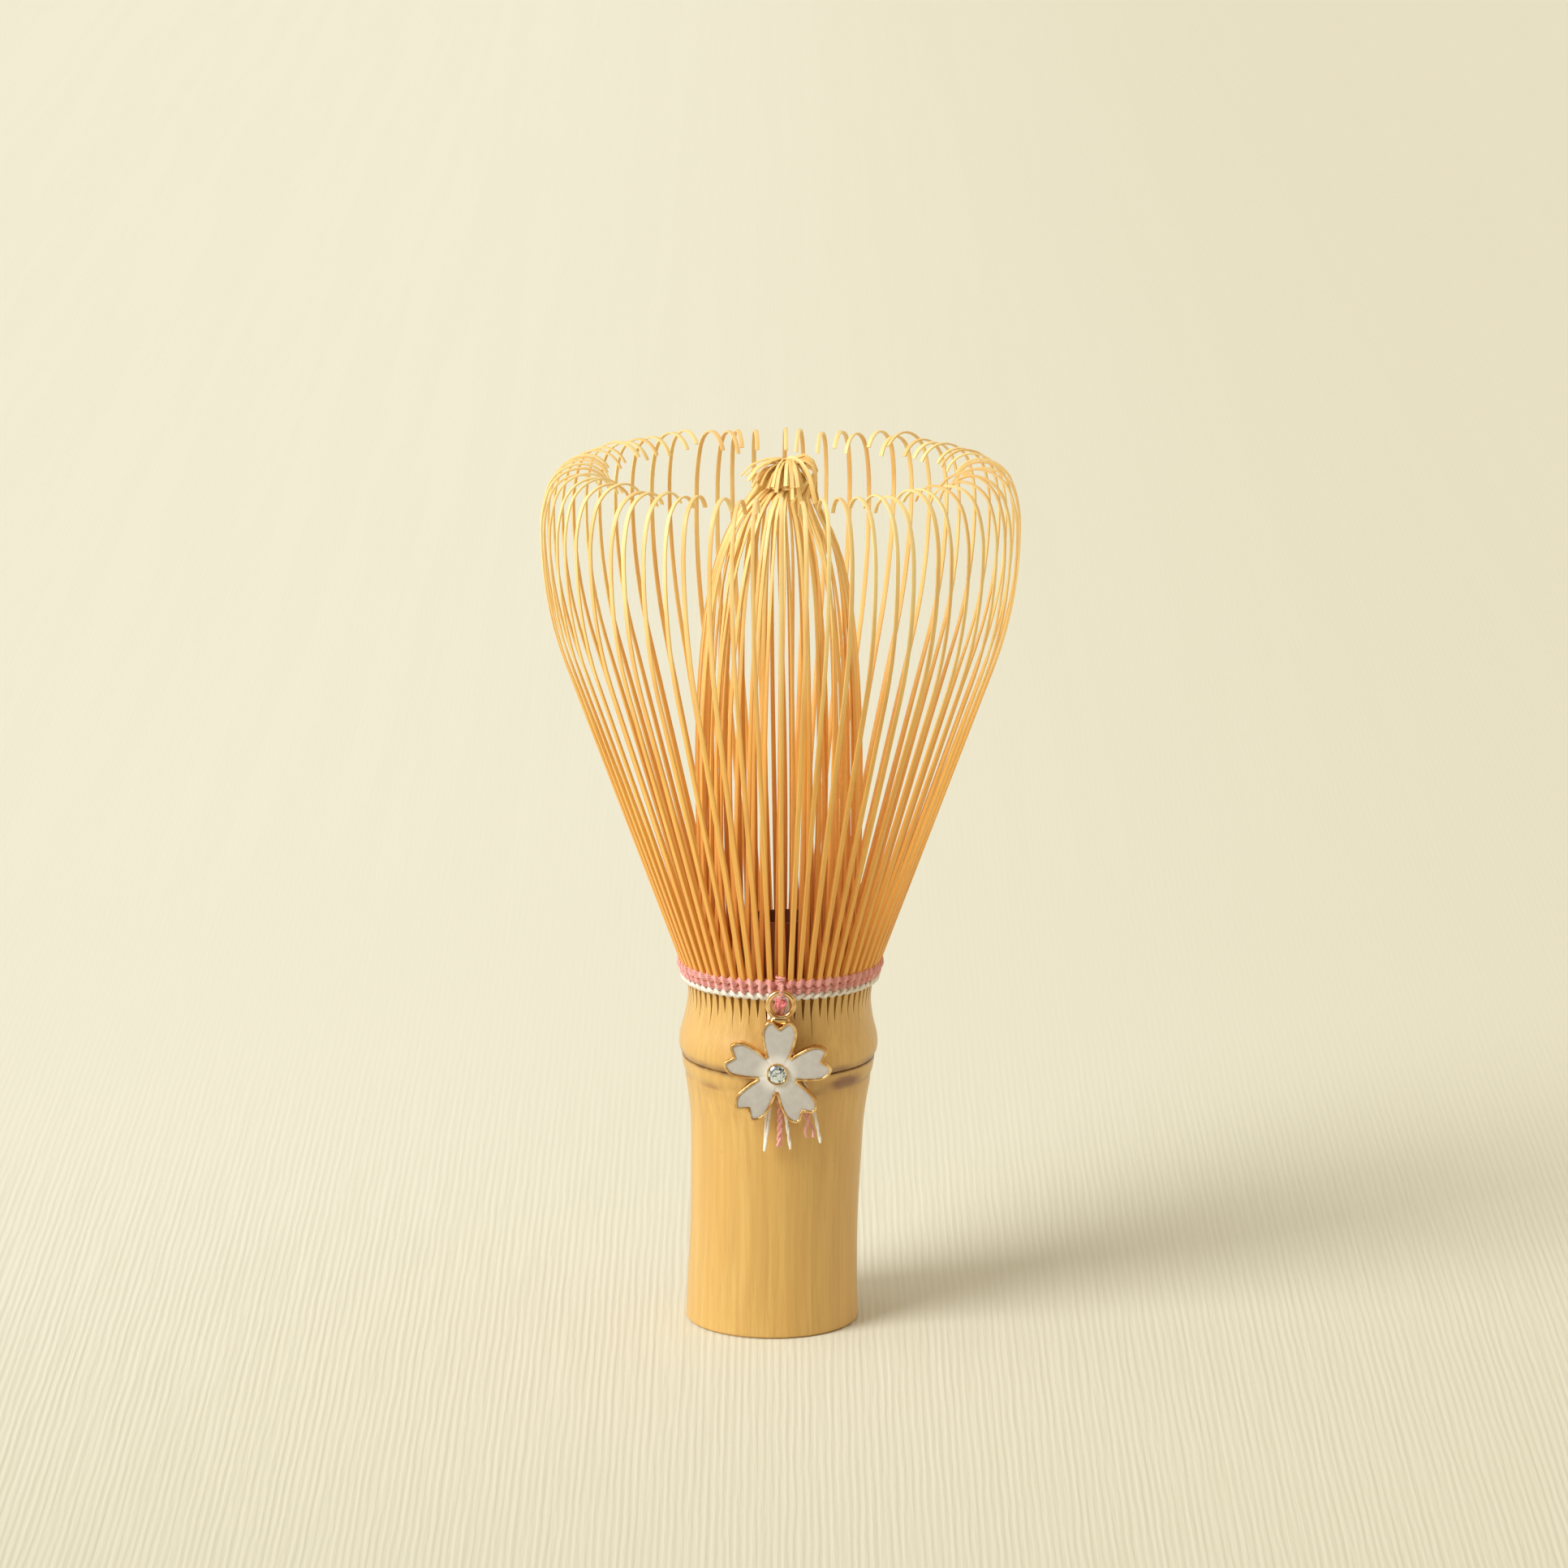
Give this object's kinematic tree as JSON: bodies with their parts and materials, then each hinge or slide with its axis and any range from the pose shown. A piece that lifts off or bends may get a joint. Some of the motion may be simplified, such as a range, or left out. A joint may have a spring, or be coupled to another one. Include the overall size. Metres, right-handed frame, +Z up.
{
  "type": "bamboo tea whisk",
  "caption": "Bamboo tea whisk: a culm handle split into flared outer tines and an upright inner bundle, bound with pink and white thread, with a hanging enamel blossom charm.",
  "frame": {"origin": "middle of the handle's cut end, at the mouth of its bore, on the surface the whisk stands on", "axes": "+Z up from the cut end to the crown of tines; -Y is the front, where the charm hangs"},
  "size_m": [0.0598, 0.0597, 0.1098],
  "materials": {
    "bamboo_skin": "polished straw-yellow bamboo skin with fine lengthwise fibres",
    "shaved_bamboo": "shaved bamboo, pale gold, slightly translucent at the tips",
    "inner_bamboo": "shaved bamboo, warmer and browner towards the root",
    "white_thread": "twisted white thread with a soft sheen",
    "pink_thread": "twisted pink thread with a silky sheen",
    "gold_plate": "polished gold-coloured plating",
    "pearl_enamel": "pearl white enamel, glossy",
    "clear_stone": "clear cut stone on a mirror back"
  },
  "bodies": {
    "handle_body": {"handle": "bamboo_skin", "white_thread_band": "white_thread", "pink_thread_band": "pink_thread", "loop_tie": "pink_thread", "white_thread_tail_1": "white_thread", "white_thread_tail_2": "white_thread", "white_thread_tail_3": "white_thread", "pink_thread_tail_1": "pink_thread", "pink_thread_tail_2": "pink_thread"},
    "outer_group_01": {"outer_tines_01": "shaved_bamboo"},
    "outer_group_02": {"outer_tines_02": "shaved_bamboo"},
    "outer_group_03": {"outer_tines_03": "shaved_bamboo"},
    "outer_group_04": {"outer_tines_04": "shaved_bamboo"},
    "outer_group_05": {"outer_tines_05": "shaved_bamboo"},
    "outer_group_06": {"outer_tines_06": "shaved_bamboo"},
    "outer_group_07": {"outer_tines_07": "shaved_bamboo"},
    "outer_group_08": {"outer_tines_08": "shaved_bamboo"},
    "outer_group_09": {"outer_tines_09": "shaved_bamboo"},
    "outer_group_10": {"outer_tines_10": "shaved_bamboo"},
    "outer_group_11": {"outer_tines_11": "shaved_bamboo"},
    "outer_group_12": {"outer_tines_12": "shaved_bamboo"},
    "outer_group_13": {"outer_tines_13": "shaved_bamboo"},
    "outer_group_14": {"outer_tines_14": "shaved_bamboo"},
    "outer_group_15": {"outer_tines_15": "shaved_bamboo"},
    "outer_group_16": {"outer_tines_16": "shaved_bamboo"},
    "inner_bundle": {"inner_tines_01": "inner_bamboo", "inner_tines_02": "inner_bamboo", "inner_tines_03": "inner_bamboo", "inner_tines_04": "inner_bamboo", "inner_tines_05": "inner_bamboo", "inner_tines_06": "inner_bamboo", "inner_tines_07": "inner_bamboo", "inner_tines_08": "inner_bamboo", "inner_tines_09": "inner_bamboo", "inner_tines_10": "inner_bamboo", "inner_tines_11": "inner_bamboo", "inner_tines_12": "inner_bamboo", "inner_tines_13": "inner_bamboo", "inner_tines_14": "inner_bamboo", "inner_tines_15": "inner_bamboo", "inner_tines_16": "inner_bamboo"},
    "thread_loop": {"charm_loop": "pink_thread"},
    "charm": {"charm_casting": "gold_plate", "charm_enamel": "pearl_enamel", "charm_stone": "clear_stone"}
  },
  "joints": [
    {"name": "outer_flex_01", "type": "hinge", "parent": "handle_body", "child": "outer_group_01", "pos_m": [0.00167, -0.01252, 0.0472], "axis": [0.9988, 0.0491, 0], "range_deg": [-3, 5], "stiffness_Nm_per_rad": 0.004},
    {"name": "outer_flex_02", "type": "hinge", "parent": "handle_body", "child": "outer_group_02", "pos_m": [0.00641, -0.01133, 0.0472], "axis": [0.904, 0.4276, 0], "range_deg": [-3, 5], "stiffness_Nm_per_rad": 0.004},
    {"name": "outer_flex_03", "type": "hinge", "parent": "handle_body", "child": "outer_group_03", "pos_m": [0.01034, -0.00842, 0.0472], "axis": [0.6716, 0.741, 0], "range_deg": [-3, 5], "stiffness_Nm_per_rad": 0.004},
    {"name": "outer_flex_04", "type": "hinge", "parent": "handle_body", "child": "outer_group_04", "pos_m": [0.01285, -0.00422, 0.0472], "axis": [0.3369, 0.9415, 0], "range_deg": [-3, 5], "stiffness_Nm_per_rad": 0.004},
    {"name": "outer_flex_05", "type": "hinge", "parent": "handle_body", "child": "outer_group_05", "pos_m": [0.01357, 0.00061, 0.0472], "axis": [-0.0491, 0.9988, 0], "range_deg": [-3, 5], "stiffness_Nm_per_rad": 0.004},
    {"name": "outer_flex_06", "type": "hinge", "parent": "handle_body", "child": "outer_group_06", "pos_m": [0.01238, 0.00536, 0.0472], "axis": [-0.4276, 0.904, 0], "range_deg": [-3, 5], "stiffness_Nm_per_rad": 0.004},
    {"name": "outer_flex_07", "type": "hinge", "parent": "handle_body", "child": "outer_group_07", "pos_m": [0.00947, 0.00929, 0.0472], "axis": [-0.741, 0.6716, 0], "range_deg": [-3, 5], "stiffness_Nm_per_rad": 0.004},
    {"name": "outer_flex_08", "type": "hinge", "parent": "handle_body", "child": "outer_group_08", "pos_m": [0.00527, 0.0118, 0.0472], "axis": [-0.9415, 0.3369, 0], "range_deg": [-3, 5], "stiffness_Nm_per_rad": 0.004},
    {"name": "outer_flex_09", "type": "hinge", "parent": "handle_body", "child": "outer_group_09", "pos_m": [0.00044, 0.01252, 0.0472], "axis": [-0.9988, -0.0491, 0], "range_deg": [-3, 5], "stiffness_Nm_per_rad": 0.004},
    {"name": "outer_flex_10", "type": "hinge", "parent": "handle_body", "child": "outer_group_10", "pos_m": [-0.00431, 0.01133, 0.0472], "axis": [-0.904, -0.4276, 0], "range_deg": [-3, 5], "stiffness_Nm_per_rad": 0.004},
    {"name": "outer_flex_11", "type": "hinge", "parent": "handle_body", "child": "outer_group_11", "pos_m": [-0.00824, 0.00842, 0.0472], "axis": [-0.6716, -0.741, 0], "range_deg": [-3, 5], "stiffness_Nm_per_rad": 0.004},
    {"name": "outer_flex_12", "type": "hinge", "parent": "handle_body", "child": "outer_group_12", "pos_m": [-0.01075, 0.00422, 0.0472], "axis": [-0.3369, -0.9415, 0], "range_deg": [-3, 5], "stiffness_Nm_per_rad": 0.004},
    {"name": "outer_flex_13", "type": "hinge", "parent": "handle_body", "child": "outer_group_13", "pos_m": [-0.01147, -0.00061, 0.0472], "axis": [0.0491, -0.9988, 0], "range_deg": [-3, 5], "stiffness_Nm_per_rad": 0.004},
    {"name": "outer_flex_14", "type": "hinge", "parent": "handle_body", "child": "outer_group_14", "pos_m": [-0.01028, -0.00536, 0.0472], "axis": [0.4276, -0.904, 0], "range_deg": [-3, 5], "stiffness_Nm_per_rad": 0.004},
    {"name": "outer_flex_15", "type": "hinge", "parent": "handle_body", "child": "outer_group_15", "pos_m": [-0.00737, -0.00929, 0.0472], "axis": [0.741, -0.6716, 0], "range_deg": [-3, 5], "stiffness_Nm_per_rad": 0.004},
    {"name": "outer_flex_16", "type": "hinge", "parent": "handle_body", "child": "outer_group_16", "pos_m": [-0.00317, -0.0118, 0.0472], "axis": [0.9415, -0.3369, 0], "range_deg": [-3, 5], "stiffness_Nm_per_rad": 0.004},
    {"name": "inner_sway", "type": "hinge", "parent": "handle_body", "child": "inner_bundle", "pos_m": [0.00105, 0, 0.0473], "axis": [1, 0, 0], "range_deg": [-5, 5], "stiffness_Nm_per_rad": 0.05},
    {"name": "charm_lift", "type": "hinge", "parent": "handle_body", "child": "thread_loop", "pos_m": [0.00112, -0.01383, 0.04613], "axis": [-1, 0, 0], "range_deg": [0, 90]},
    {"name": "charm_swing", "type": "hinge", "parent": "thread_loop", "child": "charm", "pos_m": [0.00112, -0.01383, 0.044], "axis": [0, 1, 0], "range_deg": [-70, 70]}
  ]
}
